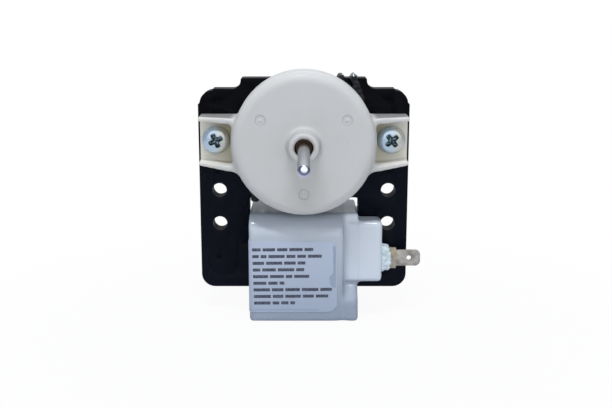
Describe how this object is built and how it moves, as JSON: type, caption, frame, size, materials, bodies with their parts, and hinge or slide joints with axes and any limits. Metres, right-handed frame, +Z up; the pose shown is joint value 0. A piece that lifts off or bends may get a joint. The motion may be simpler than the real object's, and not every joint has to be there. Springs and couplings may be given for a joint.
{
  "type": "shaded-pole fan motor",
  "caption": "Open-frame shaded-pole motor for a small fan: C-shaped laminated core, covered coil with tab terminals, moulded bearing brackets and a plain round output shaft.",
  "frame": {"origin": "on the shaft axis, at the front face of the front bracket's hub", "axes": "-Y along the output shaft and out of the motor, +Z up with the coil at the bottom, +X to the right seen from the shaft's end"},
  "size_m": [0.0646, 0.0787, 0.0721],
  "materials": {
    "core": "gloss black insulating lacquer over punched steel sheets",
    "ring": "black lacquer over copper",
    "bobbin": "satin natural nylon",
    "winding": "enamelled copper wire",
    "cover": "gloss white overmould with a cool cast",
    "tab": "dull tinned brass with specks",
    "seal": "pale sealing compound",
    "label": "satin blue-grey film, blank",
    "bracket": "cream nylon moulding with a soft sheen",
    "bearing": "oil-filled sintered bronze",
    "spring": "bright spring steel",
    "felt": "oiled wool felt",
    "fastener": "zinc plate with a bluish tint",
    "rotor": "bare punched steel sheets",
    "cage": "cast aluminium",
    "shaft": "ground steel",
    "washer": "nylon"
  },
  "bodies": {
    "motor_body": {"stator_core": "core", "coil_bar": "core", "shading_ring_upper_outer": "ring", "shading_ring_upper_inner": "ring", "shading_ring_lower_outer": "ring", "shading_ring_lower_inner": "ring", "bobbin": "bobbin", "winding": "winding", "coil_cover": "cover", "terminal_front": "tab", "terminal_rear": "tab", "terminal_seal_front": "seal", "terminal_seal_rear": "seal", "rating_label": "label", "front_bracket": "bracket", "rear_bracket": "bracket", "front_bearing": "bearing", "rear_bearing": "bearing", "front_bearing_retainer": "spring", "rear_bearing_retainer": "spring", "front_oil_felt": "felt", "rear_oil_felt": "felt", "front_felt_cap": "spring", "rear_felt_cap": "spring", "bracket_screws": "fastener", "bracket_nuts": "fastener"},
    "rotor": {"rotor_core": "rotor", "rotor_cage": "cage", "shaft": "shaft", "front_thrust_washer": "washer", "rear_thrust_washer": "washer", "front_spacer": "cage", "rear_spacer": "cage"}
  },
  "joints": [
    {"name": "rotor_spin", "type": "hinge", "parent": "motor_body", "child": "rotor", "pos_m": [0, 0, 0], "axis": [0, -1, 0], "continuous": true}
  ]
}
